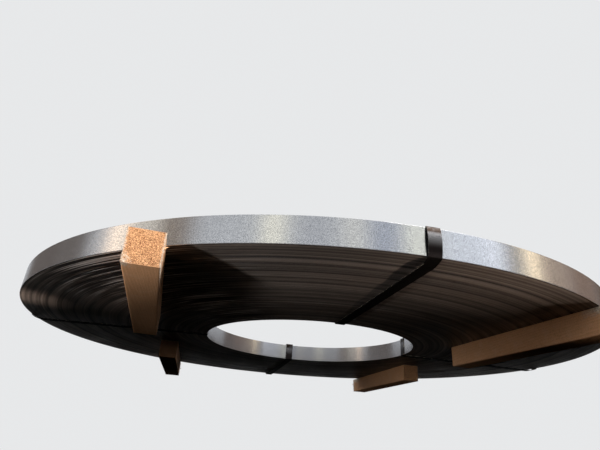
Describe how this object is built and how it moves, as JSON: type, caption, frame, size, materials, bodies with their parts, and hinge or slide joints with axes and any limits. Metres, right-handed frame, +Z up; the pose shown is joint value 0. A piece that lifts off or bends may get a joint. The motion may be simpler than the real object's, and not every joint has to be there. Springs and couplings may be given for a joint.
{
  "type": "steel coil",
  "caption": "Narrow slit steel coil lying flat on short wooden battens, its turns tied by steel straps that pass through the bore.",
  "frame": {"origin": "on the coil's axis, at the floor under the battens", "axes": "+Z up along the bore, the battens run along Y, +X to the right when looking along +Y at the front strap, which is on -Y"},
  "size_m": [1.299, 1.299, 0.0883],
  "materials": {
    "strip": "galvanised, satin",
    "strapping": "blued, dark and waxed",
    "seal": "dark steel",
    "softwood": "sawn"
  },
  "bodies": {
    "root": {"coil": "strip", "strap_front": "strapping", "strap_back": "strapping", "strap_left": "strapping", "strap_right": "strapping", "seal_front": "seal", "seal_back": "seal", "seal_left": "seal", "seal_right": "seal", "batten_front_left": "softwood", "batten_front_right": "softwood", "batten_back_left": "softwood", "batten_back_right": "softwood"}
  },
  "joints": []
}
